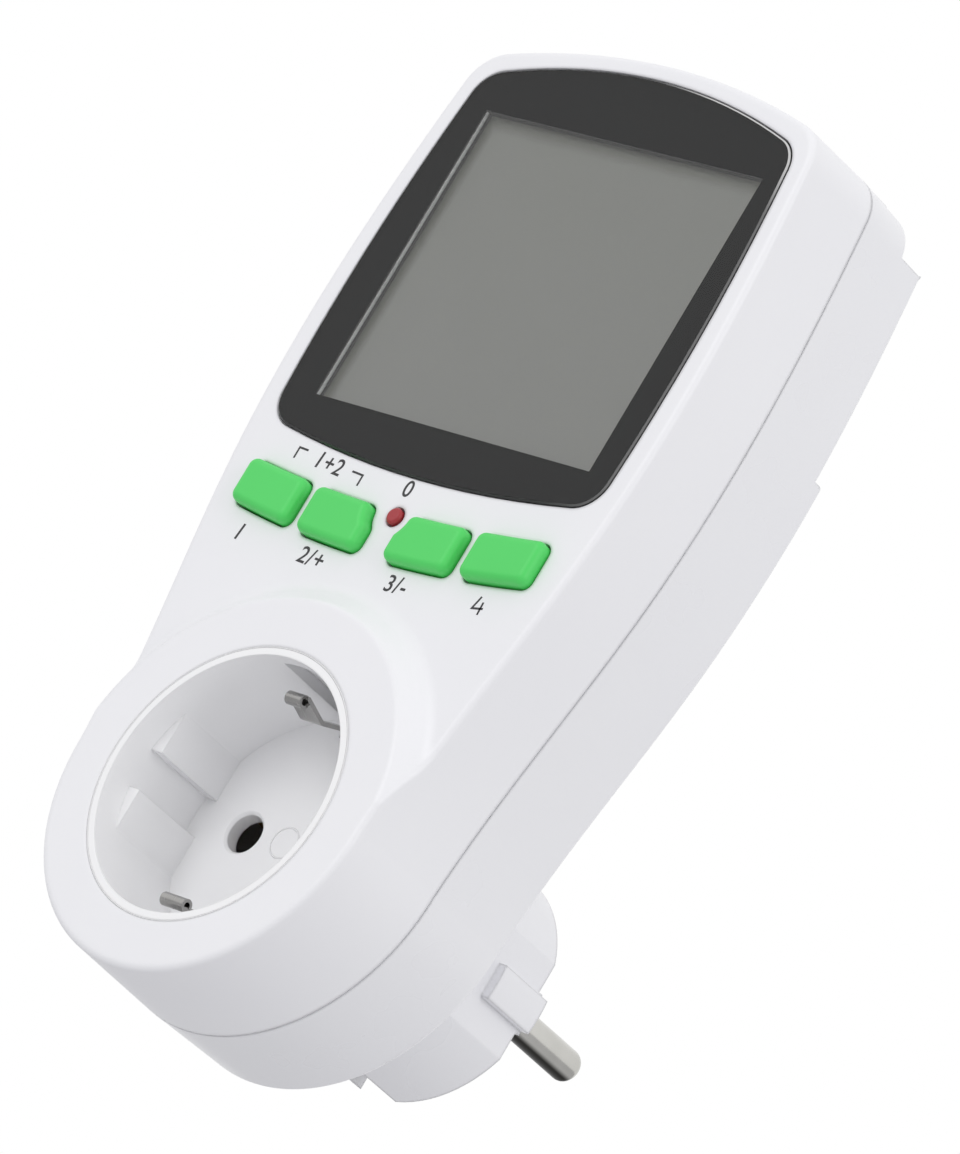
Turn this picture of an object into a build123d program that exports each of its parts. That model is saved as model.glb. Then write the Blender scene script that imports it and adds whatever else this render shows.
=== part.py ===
from build123d import *
import os

# Smart energy monitor: it plugs into a round earthed wall socket and carries one such socket itself.
# Frame: X to the right, Z up towards the display, +Y into the wall.
# The origin is the middle of the plug's mating face, between the two pins.
# Heights are measured from that face towards the front, so a height h lies at Y = -h.

# Whole body, in millimetres
panel_drop = 3.0
front_cover_depth = 17.5
plug_length = 21.5
wall = 2.5
seam = 0.2
fit_gap = 0.15
board_gap = 0.3
overrun = 1.0

# Outline seen from the front, at the parting line
head_wall = 4.0
neck_flare = 1.8
neck_height = 15.5
shoulder_draw = 1.7
shoulder_drop = 0.7
belly_frame = 3.85
belly_drop = 12.9
crown_draw = 1.0
crown_drop = 12.15
top_draw = 2.2
top_frame = 2.9
corner_drop = 4.8
corner_radius = 7.0
front_draft = 0.35
rear_draft = 0.5
lip_height = 1.5
lip_inset = 1.35

# Raised socket rim on the front panel
rim_edge_inset = 0.1
rim_edge_land = 1.6
rim_edge_round = 0.9
rim_foot_width = 3.1
rim_foot_round = 3.0
panel_edge_round = 0.8

# Back of the housing, which steps forward twice towards the top
upper_back_step = 1.8
upper_back_height = 75.5
crest_back_step = 6.6
crest_back_drop = 9.2
back_edge_round = 1.5
step_edge_round = 1.2

# Plug
plug_reach = 8.7
plug_flat_inset = 1.6
plug_root_round = 2.0
plug_end_wall = 4.0
land_rise = 0.8
land_half_height = 3.2
guide_width = 5.2
guide_length = 10.0
cavity_side_gap = 0.1
cavity_inset = 6.2
earth_slot_width = 7.0
earth_slot_depth = 3.0

# Pins
pin_offset = 9.5
pin_radius = 2.4
pin_length = 19.0
pin_tip_round = 1.6
pin_neck_radius = 2.0
pin_collar_radius = 3.0
pin_collar_height = 1.2
pin_plate_reach = 3.7
pin_plate_half_height = 2.6
pin_plate_flange = 2.0
pin_plate_flange_half_height = 6.0

# Socket recess
recess_clearance = 1.3
recess_depth = 17.5
recess_flat_inset = 2.3
recess_flat_drop = 4.5
recess_groove_gap = 0.6
insert_rim = 1.1
insert_wall = 1.8
insert_floor = 2.5
insert_flange_width = 4.9
insert_flange_thickness = 1.5
contact_hole_radius = 2.9
contact_hole_edge = 0.4
earth_window_width = 6.0
earth_window_drop = 2.2
insert_post_inset = 4.9
insert_post_radius = 2.2

# Sprung metal strips
strip_thickness = 0.6
strip_bend = 1.0
earth_strip_width = 4.2
earth_leg_inset = 1.6
clip_foot_rise = 0.9
clip_reach_inset = 4.4
clip_reach_drop = 9.0
clip_tip_inset = 3.1
clip_tip_drop = 4.6
plug_clip_root_inset = 1.8
plug_clip_bow_inset = 0.9
plug_clip_tip_inset = 2.4
plug_clip_margin = 1.6
earth_rivet_radius = 2.0
contact_width = 5.4
contact_foot = 3.3
contact_pinch = 2.45
contact_mouth = 3.6
contact_pinch_drop = 6.0
link_rise = 9.0
link_reach = 10.0
feed_width = 4.0
feed_start = 4.4
feed_turn = 8.6
feed_overlap = 6.0

# Display
view_draw = 1.4
view_height = 46.5
view_foot = 7.95
window_gap = 5.5
window_bottom_bow = 2.9
window_bottom_draw = 0.75
window_side = 5.75
window_middle_drop = 4.9
window_top_draw = 2.35
window_top_bow = 5.0
window_head = 9.95
window_corner_radius = 5.0
window_thickness = 1.5
window_proud = 0.25
window_bevel = 0.35
border_thickness = 0.25
pocket_depth = 1.5
opening_margin = 0.2
glass_margin = 1.6
glass_foot = 5.0
glass_thickness = 1.9
reflector_thickness = 0.3
holder_rim = 1.0
holder_ledge = 1.5
zebra_width = 2.2
zebra_inset = 2.0
zebra_foot = 2.8

# Buttons
button_rise = 1.9
row_inset = 5.9
row_clearance = 5.7
row_height = 7.1
row_bottom_bow = 2.2
row_top_bow = 1.8
button_inner_gap = 5.7
button_outer_gap = 2.4
button_corner_radius = 1.3
button_top_round = 1.1
button_wall = 1.2
button_gap = 0.3
button_ear = 1.2
button_ear_inset = 2.0
button_ear_thickness = 0.9
button_stem_radius = 1.6
button_travel = 0.5
reset_drop = 0.5
reset_radius = 1.25
reset_rise = 0.6
reset_ear = 0.8
reset_clearing = 4.0
switch_size = 6.0
switch_body = 3.5
switch_total = 4.3
switch_plunger_radius = 1.7
switch_plunger_sunk = 1.0
switch_well_gap = 0.35
switch_well_depth = 2.1

# Circuit boards
board_thickness = 1.6
display_board_drop = 6.0
display_board_inset = 6.4
display_board_notch = 10.2
display_board_foot_drop = 8.6
display_board_shoulder_drop = 2.6
display_board_head_drop = 10.0
display_board_tab_drop = 5.0
power_board_rise = 4.2
board_space = 12.6
power_board_inset = 8.1
power_board_foot_drop = 3.1
power_board_head_drop = 15.0
board_corner = 2.0

# Parts on the boards
controller_size = 12.0
controller_thickness = 1.4
chip_corner = 0.5
crystal_x = -3.0
crystal_drop = 12.0
crystal_length = 10.8
crystal_width = 4.6
crystal_height = 3.4
battery_x = 12.0
battery_drop = 4.0
battery_gap = 1.1
cell_length = 5.4
cell_gap = 0.3
cell_count = 3
film_shift = 5.0
film_up = 18.0
film_length = 18.0
film_width = 8.5
film_gap = 2.2
electrolytic_x = 9.2
electrolytic_drop = 12.0
electrolytic_spacing = 10.4
electrolytic_radius = 4.0
varistor_inset = 10.5
varistor_up = 20.0
varistor_radius = 5.0
varistor_thickness = 4.0
metering_x = 4.0
metering_up = 18.0
metering_length = 10.3
metering_width = 7.5
metering_height = 2.3
chip_bevel = 0.3
link_x = -9.0
link_drop = 6.0
link_pins = 8
link_pin_gap = 1.9
link_pin_size = 0.64

# Screws and their bosses
drive_sides = 4
screw_gap = 0.05
case_screw_radius = 1.4
case_screw_length = 12.0
case_head_radius = 2.3
case_head_height = 1.6
case_head_gap = 0.2
case_head_drop = 2.4
case_boss_radius = 3.3
case_column_radius = 3.8
case_lower_inset = 4.8
case_lower_drop = 10.6
case_upper_inset = 7.6
case_upper_drop = 6.4
board_screw_radius = 1.0
board_screw_length = 5.0
board_head_radius = 1.9
board_head_height = 1.2
board_boss_radius = 2.0
board_screw_drop = 0.3
board_screw_foot_drop = 5.5
board_screw_head_drop = 7.4
power_screw_inset = 4.5
power_screw_end = 5.0

# Socket and plug, worked outwards from the pins
plug_radius = pin_offset + plug_reach
plug_half_width = plug_radius - plug_flat_inset
cavity_half_width = pin_offset + pin_collar_radius + cavity_side_gap
cavity_half_height = plug_radius - cavity_inset
pin_plate_half_width = pin_offset + pin_plate_reach
plug_clip_root = plug_radius - plug_clip_root_inset
plug_clip_bow = plug_radius - plug_clip_bow_inset
plug_clip_tip = plug_radius - plug_clip_tip_inset
recess_radius = plug_radius + recess_clearance
recess_flat = recess_radius - recess_flat_inset
recess_groove_width = guide_width + recess_groove_gap
insert_flange_radius = recess_radius + insert_flange_width
insert_post_offset = recess_radius - insert_post_inset
earth_leg_height = recess_radius - earth_leg_inset
clip_reach = recess_radius - clip_reach_inset
clip_tip = recess_radius - clip_tip_inset
head_radius = insert_flange_radius + head_wall
rim_edge_radius = head_radius - rim_edge_inset
rim_foot_radius = rim_edge_radius + rim_foot_width

# Heights above the socket's axis: the buttons, the display, then the housing round them
row_bottom = rim_foot_radius + row_clearance
row_bottom_end = row_bottom + row_bottom_bow
row_top = row_bottom + row_height
row_top_end = row_top + row_top_bow
reset_height = row_top - reset_drop
window_bottom = row_top + window_gap
window_bottom_corner = window_bottom + window_bottom_bow
view_bottom = window_bottom + view_foot
view_middle = view_bottom + view_height / 2
view_top = view_bottom + view_height
window_middle = view_middle - window_middle_drop
window_top = view_top + window_head
window_top_corner = window_top - window_top_bow
shoulder_height = row_top - shoulder_drop
belly_height = view_middle - belly_drop
crown_height = view_top - crown_drop
top_height = window_top + top_frame
corner_height = top_height - corner_drop
crest_back_height = top_height - crest_back_drop

# Half widths: the display, the window round it, then the housing round the window
view_width = 2 * (head_radius - view_draw)
window_middle_half_width = view_width / 2 + window_side
window_bottom_half_width = window_middle_half_width - window_bottom_draw
window_top_half_width = window_middle_half_width - window_top_draw
belly_half_width = window_middle_half_width + belly_frame
shoulder_half_width = belly_half_width - shoulder_draw
crown_half_width = belly_half_width - crown_draw
top_half_width = crown_half_width - top_draw
neck_half_width = head_radius + neck_flare
row_half_width = shoulder_half_width - row_inset
zebra_half_length = view_width / 2 - zebra_inset

# Boards and the places of their parts
display_board_half_width = belly_half_width - display_board_inset
display_board_foot_half_width = display_board_half_width - display_board_notch
display_board_foot = row_bottom - display_board_foot_drop
display_board_shoulder = row_bottom - display_board_shoulder_drop
display_board_head = top_height - display_board_head_drop
display_board_tab = top_height - display_board_tab_drop
power_board_half_width = belly_half_width - power_board_inset
power_board_bottom = row_bottom - power_board_foot_drop
power_board_top = top_height - power_board_head_drop
electrolytic_z = power_board_top - electrolytic_drop
link_z = power_board_top - link_drop
link_step = link_pin_gap + link_pin_size
cell_radius = (board_space - battery_gap) / 2
varistor_x = varistor_inset - power_board_half_width
varistor_z = power_board_bottom + varistor_up
film_x = varistor_x + film_shift
film_z = varistor_z + film_up
crystal_z = film_z - crystal_drop
battery_z = film_z - battery_drop
film_height = board_space - film_gap
metering_z = power_board_bottom + metering_up
case_lower_x = neck_half_width - case_lower_inset
case_lower_z = row_bottom - case_lower_drop
case_upper_x = top_half_width - case_upper_inset
case_upper_z = top_height - case_upper_drop
board_screw_z = window_bottom - board_screw_drop
board_screw_foot_z = row_bottom - board_screw_foot_drop
board_screw_head_z = top_height - board_screw_head_drop
power_screw_x = power_board_half_width - power_screw_inset

# Levels, from the back of the housing through both boards to the socket's rim
back_level = plug_length
crest_back_level = back_level + crest_back_step
floor_level = back_level + wall
power_board_back = floor_level + power_board_rise
power_board_front = power_board_back + board_thickness
display_board_back = power_board_front + board_space
display_board_front = display_board_back + board_thickness
ceiling_level = display_board_front + display_board_drop
panel_level = ceiling_level + wall
rim_level = panel_level + panel_drop
parting_level = rim_level - front_cover_depth
recess_floor_level = rim_level - recess_depth
insert_back_level = recess_floor_level - insert_floor
case_seat_level = crest_back_level + case_head_drop
cavity_level = land_rise + plug_end_wall

case_screw_places = [
    (-case_lower_x, case_lower_z),
    (case_lower_x, case_lower_z),
    (-case_upper_x, case_upper_z),
    (case_upper_x, case_upper_z),
]
display_screw_places = [
    (-display_board_foot_half_width, board_screw_z),
    (display_board_foot_half_width, board_screw_z),
    (0, board_screw_foot_z),
    (0, board_screw_head_z),
]
power_screw_places = [
    (-power_screw_x, power_board_bottom + power_screw_end),
    (power_screw_x, power_board_bottom + power_screw_end),
    (-power_screw_x, power_board_top - power_screw_end),
    (power_screw_x, power_board_top - power_screw_end),
]

os.makedirs("parts", exist_ok=True)


# A plane square to the socket's axis, at a height above the plug's face
def level(height):
    return Plane.XZ.offset(height)


# A plane square to X: its first direction is the height, its second is Z
def side_plane(offset=0.0):
    return Plane(origin=(offset, 0, 0), x_dir=(0, -1, 0), z_dir=(-1, 0, 0))


# The half section of a piece turned about the socket's axis: radius first, then height
turning_plane = Plane(origin=(0, 0, 0), x_dir=(1, 0, 0), z_dir=(0, 0, -1))


def save(piece, name):
    piece.part.label = name
    export_step(piece.part, f"parts/{name}.step")
    print(name, len(piece.solids()), "solid(s)", round(piece.part.volume, 1), "mm3")


# The housing's outline, drawn in by an inset
def housing_outline(height, inset):
    radius = head_radius - inset
    corner = (top_half_width - inset, corner_height - inset)
    side_points = [
        (neck_half_width - inset, neck_height),
        (shoulder_half_width - inset, shoulder_height),
        (belly_half_width - inset, belly_height),
        (crown_half_width - inset, crown_height),
    ]
    with BuildSketch(level(height)) as profile:
        with BuildLine():
            ThreePointArc((-radius, 0), (0, -radius), (radius, 0))
            side = Spline((radius, 0), *side_points, corner)
            mirror(side, about=Plane.YZ)
            ThreePointArc(corner, (0, top_height - inset), (-corner[0], corner[1]))
        make_face()
        fillet(profile.vertices().group_by(Axis.Y)[-1], corner_radius - inset)
    return profile.sketch


# Everything above the display panel and outside the raised socket rim
def panel_clearing():
    reach = top_height + overrun
    land_edge = rim_edge_radius - rim_edge_land
    with BuildPart() as clearing:
        with BuildSketch(turning_plane):
            with BuildLine():
                FilletPolyline(
                    (land_edge, rim_level),
                    (rim_edge_radius, rim_level),
                    (rim_foot_radius, panel_level),
                    (reach, panel_level),
                    radius=[rim_edge_round, rim_foot_round],
                )
                Polyline(
                    (reach, panel_level),
                    (reach, rim_level + overrun),
                    (land_edge, rim_level + overrun),
                    (land_edge, rim_level),
                )
            make_face()
        revolve(axis=Axis.Y)
    return clearing.part


# The space behind the parting line, stepped at the back; an inset draws in every side
def rear_volume(inset, start):
    back = back_level + inset
    with BuildPart() as volume:
        loft(
            [housing_outline(start, inset), housing_outline(back, inset + rear_draft)],
            ruled=True,
        )
        with BuildSketch(side_plane()):
            with BuildLine():
                Polyline(
                    (back - overrun, upper_back_height - inset),
                    (back + upper_back_step, upper_back_height - inset),
                    (back + upper_back_step, crest_back_height - inset),
                    (back + crest_back_step, crest_back_height - inset),
                    (back + crest_back_step, top_height + overrun),
                    (back - overrun, top_height + overrun),
                    close=True,
                )
            make_face()
        extrude(amount=belly_half_width + overrun, both=True, mode=Mode.SUBTRACT)
    return volume


# The window's outline under the display, with its bowed edges
def window_outline(height, inset=0.0):
    bottom = (window_bottom_half_width - inset, window_bottom_corner + inset)
    top = (window_top_half_width - inset, window_top_corner - inset)
    with BuildSketch(level(height)) as profile:
        with BuildLine():
            ThreePointArc((-bottom[0], bottom[1]), (0, window_bottom + inset), bottom)
            side = ThreePointArc(bottom, (window_middle_half_width - inset, window_middle), top)
            mirror(side, about=Plane.YZ)
            ThreePointArc(top, (0, window_top - inset), (-top[0], top[1]))
        make_face()
        fillet(profile.vertices(), window_corner_radius - inset)
    return profile.sketch


# A rectangle on a level between two X values and two Z values
def plate_outline(height, left, right, bottom, top, corner=0.0):
    with BuildSketch(level(height)) as profile:
        with Locations(((left + right) / 2, (bottom + top) / 2)):
            if corner > 0:
                RectangleRounded(right - left, top - bottom, corner)
            else:
                Rectangle(right - left, top - bottom)
    return profile.sketch


# The plug's round end with its two flats
def plug_outline(height, inset=0.0):
    with BuildSketch(level(height)) as profile:
        Circle(plug_radius - inset)
        Rectangle(2 * (plug_half_width - inset), 2 * plug_radius, mode=Mode.INTERSECT)
    return profile.sketch


# The guide rib on each of the plug's flats, out to the plug's round
def guide_outline(height):
    with BuildSketch(level(height)) as profile:
        Circle(plug_radius)
        Rectangle(2 * plug_radius, guide_width, mode=Mode.INTERSECT)
    return profile.sketch


# The band that the four caps are cut from, grown upwards and downwards by an ear
def button_band(ear=0.0):
    with BuildSketch(level(0)) as band:
        with BuildLine():
            ThreePointArc(
                (-row_half_width, row_bottom_end - ear),
                (0, row_bottom - ear),
                (row_half_width, row_bottom_end - ear),
            )
            Line((row_half_width, row_bottom_end - ear), (row_half_width, row_top_end + ear))
            ThreePointArc(
                (row_half_width, row_top_end + ear),
                (0, row_top + ear),
                (-row_half_width, row_top_end + ear),
            )
            Line((-row_half_width, row_top_end + ear), (-row_half_width, row_bottom_end - ear))
        make_face()
    return band.sketch_local


# One cap's outline between two X values, cut back round the reset button
def button_outline(height, left, right, grow=0.0):
    with BuildSketch(level(height)) as cap:
        add(button_band())
        with Locations(((left + right) / 2, row_bottom)):
            Rectangle(right - left, 2 * row_half_width, mode=Mode.INTERSECT)
        with Locations((0, reset_height)):
            Circle(reset_clearing, mode=Mode.SUBTRACT)
        fillet(cap.vertices(), button_corner_radius)
        if grow:
            offset(amount=grow)
    return cap.sketch


inner_left = button_inner_gap / 2
cap_width = (row_half_width - inner_left - button_outer_gap) / 2
outer_left = inner_left + cap_width + button_outer_gap
caps = {
    "button_left_outer": (-row_half_width, -outer_left),
    "button_left_inner": (-inner_left - cap_width, -inner_left),
    "button_right_inner": (inner_left, inner_left + cap_width),
    "button_right_outer": (outer_left, row_half_width),
}


# The middle of a cap, over its switch
def switch_place(left, right):
    middle = (left + right) / 2
    share_out = (middle / row_half_width) ** 2
    low = row_bottom + share_out * (row_bottom_end - row_bottom)
    high = row_top + share_out * (row_top_end - row_top)
    return (middle, (low + high) / 2)


switch_places = {name: switch_place(*edges) for name, edges in caps.items()}
switch_places["reset_button"] = (0, reset_height)

# Front cover: a drafted shell with the raised rim, the window's pocket and the holes for the caps
opening_half_width = view_width / 2 + opening_margin
opening_half_height = view_height / 2 + opening_margin
opening = plate_outline(
    panel_level,
    -opening_half_width,
    opening_half_width,
    view_middle - opening_half_height,
    view_middle + opening_half_height,
)
groove_outside = housing_outline(parting_level, lip_inset - fit_gap)
groove_inside = housing_outline(parting_level, wall + fit_gap)
lip_groove = groove_outside - groove_inside
with BuildPart() as front_cover:
    loft(
        [housing_outline(parting_level + seam, 0), housing_outline(rim_level, front_draft)],
        ruled=True,
    )
    add(panel_clearing(), mode=Mode.SUBTRACT)
    panel = front_cover.faces().filter_by(Plane.XZ).sort_by(Axis.Y)[1]
    crease = panel.outer_wire().edges().sort_by(Axis.Z)[1:]
    fillet(crease, panel_edge_round)
    loft(
        [
            housing_outline(parting_level - overrun, wall),
            housing_outline(ceiling_level, wall + front_draft),
        ],
        ruled=True,
        mode=Mode.SUBTRACT,
    )
    with BuildSketch(level(rim_level - wall)):
        Circle(insert_flange_radius + fit_gap)
    extrude(amount=-wall - overrun, mode=Mode.SUBTRACT)
    with BuildSketch(level(rim_level)):
        Circle(recess_radius + insert_rim + fit_gap)
    extrude(amount=-wall - overrun, mode=Mode.SUBTRACT)
    extrude(window_outline(panel_level, -fit_gap), amount=-pocket_depth, mode=Mode.SUBTRACT)
    extrude(opening, amount=-wall - overrun, mode=Mode.SUBTRACT)
    for left, right in caps.values():
        cap_hole = button_outline(panel_level, left, right, button_gap)
        extrude(cap_hole, amount=-wall - overrun, mode=Mode.SUBTRACT)
    with BuildSketch(level(panel_level)):
        with Locations((0, reset_height)):
            Circle(reset_radius + button_gap)
    extrude(amount=-wall - overrun, mode=Mode.SUBTRACT)
    with BuildSketch(level(parting_level + seam)):
        with Locations(case_screw_places):
            Circle(case_boss_radius)
    extrude(amount=ceiling_level - parting_level)
    with BuildSketch(level(display_board_front)):
        with Locations(display_screw_places):
            Circle(board_boss_radius)
    extrude(amount=display_board_drop + seam)
    with BuildSketch(level(parting_level)):
        with Locations(case_screw_places):
            Circle(case_screw_radius + screw_gap)
    extrude(amount=case_seat_level + case_screw_length - parting_level + seam, mode=Mode.SUBTRACT)
    with BuildSketch(level(display_board_front)):
        with Locations(display_screw_places):
            Circle(board_screw_radius + screw_gap)
    extrude(amount=board_screw_length - board_thickness + seam, mode=Mode.SUBTRACT)
    extrude(lip_groove, amount=lip_height + 2 * seam, mode=Mode.SUBTRACT)
save(front_cover, "front_cover")

# Rear cover: a drafted shell stepped at the back, with the plug's body moulded on it
with BuildPart() as rear_outside:
    add(rear_volume(0, parting_level).part)
    back_face = rear_outside.faces().filter_by(Plane.XZ).sort_by(Axis.Y)[-1]
    fillet(back_face.outer_wire().edges(), back_edge_round)
    upper_face = rear_outside.faces().filter_by(Plane.XZ).sort_by(Axis.Y)[-2]
    fillet(upper_face.outer_wire().edges().sort_by(Axis.Z)[1:], step_edge_round)
    crest_face = rear_outside.faces().filter_by(Plane.XZ).sort_by(Axis.Y)[-3]
    fillet(crest_face.outer_wire().edges().sort_by(Axis.Z)[1:], step_edge_round)

lip_outside = housing_outline(parting_level, lip_inset)
lip_inside = housing_outline(parting_level, wall)
land_outline = plate_outline(
    0, -plug_half_width, plug_half_width, -land_half_height, land_half_height
)
cavity_outline = plate_outline(
    cavity_level,
    -cavity_half_width,
    cavity_half_width,
    -cavity_half_height,
    cavity_half_height,
    board_corner,
)
earth_slot_floor = plug_radius - earth_slot_depth
slit_inside = plug_clip_root - strip_bend - fit_gap
slit_outside = plug_clip_root + strip_thickness
insert_posts = [
    (across * insert_post_offset, up * insert_post_offset) for across in (-1, 1) for up in (-1, 1)
]
with BuildPart() as rear_cover:
    add(rear_outside.part)
    extrude(plug_outline(land_rise), amount=back_level - land_rise + wall / 2)
    extrude(guide_outline(0), amount=guide_length)
    root = rear_cover.edges().filter_by_position(Axis.Y, -back_level - seam, -back_level + seam)
    fillet(root.filter_by_position(Axis.Z, -plug_radius - seam, plug_radius + seam), plug_root_round)
    extrude(lip_outside, amount=lip_height)
    add(rear_volume(wall, parting_level + lip_height + overrun).part, mode=Mode.SUBTRACT)
    extrude(land_outline, amount=land_rise)
    extrude(cavity_outline, amount=back_level, mode=Mode.SUBTRACT)
    for side in (-1, 1):
        slot = plate_outline(
            0,
            -earth_slot_width / 2,
            earth_slot_width / 2,
            min(side * earth_slot_floor, side * (plug_radius + overrun)),
            max(side * earth_slot_floor, side * (plug_radius + overrun)),
        )
        extrude(slot, amount=back_level, mode=Mode.SUBTRACT)
        slit = plate_outline(
            back_level - overrun,
            -earth_strip_width / 2 - fit_gap,
            earth_strip_width / 2 + fit_gap,
            min(side * slit_inside, side * slit_outside),
            max(side * slit_inside, side * slit_outside),
        )
        extrude(slit, amount=wall + 2 * overrun, mode=Mode.SUBTRACT)
    with BuildSketch(level(0)):
        Rectangle(2 * pin_plate_half_width, 2 * pin_plate_half_height)
    extrude(amount=cavity_level + overrun, mode=Mode.SUBTRACT)
    with BuildSketch(level(floor_level)):
        with Locations(insert_posts):
            Circle(insert_post_radius)
    extrude(amount=insert_back_level - floor_level)
    with BuildSketch(level(floor_level)):
        with Locations(case_screw_places[:2]):
            Circle(case_column_radius)
    extrude(amount=parting_level - floor_level)
    with BuildSketch(level(crest_back_level + wall)):
        with Locations(case_screw_places[2:]):
            Circle(case_column_radius)
    extrude(amount=parting_level - crest_back_level - wall)
    with BuildSketch(level(floor_level)):
        with Locations(power_screw_places):
            Circle(board_boss_radius)
    extrude(amount=power_board_rise)
    with BuildSketch(level(power_board_back)):
        with Locations(power_screw_places):
            Circle(board_screw_radius + screw_gap)
    extrude(amount=-board_screw_length + board_thickness - seam, mode=Mode.SUBTRACT)
    with BuildSketch(level(back_level - overrun)):
        with Locations(case_screw_places):
            Circle(case_head_radius + case_head_gap)
    extrude(amount=case_seat_level - back_level + overrun, mode=Mode.SUBTRACT)
    with BuildSketch(level(back_level)):
        with Locations(case_screw_places):
            Circle(case_screw_radius + case_head_gap)
    extrude(amount=parting_level - back_level + lip_height + overrun, mode=Mode.SUBTRACT)
save(rear_cover, "rear_cover")

# Socket insert: a cup with side flats, guide grooves and windows for the earth clips
insert_radius = recess_radius + insert_wall
window_top_level = rim_level - earth_window_drop
earth_window_inside = earth_leg_height - strip_bend - fit_gap
with BuildPart() as socket_insert:
    with BuildSketch(turning_plane):
        with BuildLine():
            Polyline(
                (0, insert_back_level),
                (insert_radius, insert_back_level),
                (insert_radius, rim_level - wall - insert_flange_thickness),
                (insert_flange_radius, rim_level - wall - insert_flange_thickness),
                (insert_flange_radius, rim_level - wall),
                (recess_radius + insert_rim, rim_level - wall),
                (recess_radius + insert_rim, rim_level),
                (recess_radius, rim_level),
                (recess_radius, recess_floor_level),
                (0, recess_floor_level),
                close=True,
            )
        make_face()
    revolve(axis=Axis.Y)
    with BuildSketch(level(recess_floor_level)):
        Circle(recess_radius + fit_gap)
        Rectangle(2 * recess_flat, 2 * recess_radius, mode=Mode.SUBTRACT)
        Rectangle(2 * insert_radius, recess_groove_width, mode=Mode.SUBTRACT)
    extrude(amount=recess_depth - recess_flat_drop)
    with BuildSketch(level(insert_back_level)):
        with Locations((-pin_offset, 0), (pin_offset, 0)):
            Circle(contact_hole_radius)
    extrude(amount=insert_floor, mode=Mode.SUBTRACT)
    hole_edges = socket_insert.edges().filter_by(GeomType.CIRCLE).filter_by(
        lambda edge: abs(edge.radius - contact_hole_radius) < seam
    )
    chamfer(hole_edges.sort_by(Axis.Y)[:2], contact_hole_edge)
    for side in (-1, 1):
        earth_window = plate_outline(
            insert_back_level,
            -earth_window_width / 2,
            earth_window_width / 2,
            min(side * earth_window_inside, side * (insert_radius + fit_gap)),
            max(side * earth_window_inside, side * (insert_radius + fit_gap)),
        )
        extrude(earth_window, amount=window_top_level - insert_back_level, mode=Mode.SUBTRACT)
save(socket_insert, "socket_insert")


# A strip of sheet metal bent along a line of (height, Z) points, its width along X
def bent_strip(points, width, middle=0.0, bend=strip_bend):
    with BuildPart() as strip:
        with BuildSketch(side_plane(middle)):
            with BuildLine() as path:
                FilletPolyline(*points, radius=bend)
            trace(path.line, line_width=strip_thickness)
        extrude(amount=width / 2, both=True)
    return strip


half_strip = strip_thickness / 2
socket_strap_level = insert_back_level - half_strip
clip_leg = [
    (socket_strap_level, earth_leg_height),
    (recess_floor_level + clip_foot_rise, earth_leg_height),
    (rim_level - clip_reach_drop, clip_reach),
    (rim_level - clip_tip_drop, clip_tip),
]
other_leg = [(height, -across) for height, across in reversed(clip_leg)]
socket_earth_clip = bent_strip(other_leg + clip_leg, earth_strip_width)
save(socket_earth_clip, "socket_earth_clip")

plug_strap_level = floor_level + half_strip
plug_leg = [
    (plug_strap_level, plug_clip_root),
    (plug_length / 2, plug_clip_bow),
    (plug_clip_margin, plug_clip_tip),
]
other_leg = [(height, -across) for height, across in reversed(plug_leg)]
plug_earth_clip = bent_strip(other_leg + plug_leg, earth_strip_width)
save(plug_earth_clip, "plug_earth_clip")

with BuildPart() as earth_rivet:
    with BuildSketch(level(plug_strap_level + half_strip)):
        Circle(earth_rivet_radius)
    extrude(amount=socket_strap_level - plug_strap_level - strip_thickness)
save(earth_rivet, "earth_rivet")

# Pins and the plate that carries them
with BuildPart() as pin_plate:
    with BuildSketch(level(0)):
        Rectangle(2 * (pin_plate_half_width - fit_gap), 2 * (pin_plate_half_height - fit_gap))
    extrude(amount=cavity_level)
    with BuildSketch(level(cavity_level)):
        Rectangle(2 * (cavity_half_width - fit_gap), 2 * pin_plate_flange_half_height)
    extrude(amount=pin_plate_flange)
    with BuildSketch(level(0)):
        with Locations((-pin_offset, 0), (pin_offset, 0)):
            Circle(pin_neck_radius + screw_gap)
    extrude(amount=cavity_level + pin_plate_flange, mode=Mode.SUBTRACT)
save(pin_plate, "pin_plate")

collar_level = cavity_level + pin_plate_flange
link_foot_level = collar_level + pin_collar_height + half_strip
link_top_level = link_foot_level + link_rise
contact_foot_level = link_top_level + strip_thickness
contact_mouth_level = insert_back_level - board_gap
feed_level = power_board_front + half_strip


def plug_pin(side):
    middle = side * pin_offset
    with BuildPart() as pin:
        with BuildSketch(level(-pin_length)):
            with Locations((middle, 0)):
                Circle(pin_radius)
        extrude(amount=pin_length)
        fillet(pin.edges().sort_by(Axis.Y)[-1], pin_tip_round)
        with BuildSketch(level(0)):
            with Locations((middle, 0)):
                Circle(pin_neck_radius)
        extrude(amount=collar_level)
        with BuildSketch(level(collar_level)):
            with Locations((middle, 0)):
                Circle(pin_collar_radius)
        extrude(amount=pin_collar_height)
    return pin


# The strip from a pin's collar up to the foot of its contact
def pin_link(side):
    points = [
        (link_foot_level, -contact_foot),
        (link_foot_level, link_reach),
        (link_top_level, link_reach),
        (link_top_level, -contact_foot),
    ]
    return bent_strip(points, contact_width, side * pin_offset)


# A forked contact: two leaves that pinch the pin of whatever is plugged in
def forked_contact(side):
    leaf = [
        (contact_foot_level, contact_foot),
        (contact_mouth_level - contact_pinch_drop, contact_pinch),
        (contact_mouth_level, contact_mouth),
    ]
    other_leaf = [(height, -across) for height, across in reversed(leaf)]
    return bent_strip(other_leaf + leaf, contact_width, side * pin_offset)


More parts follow.
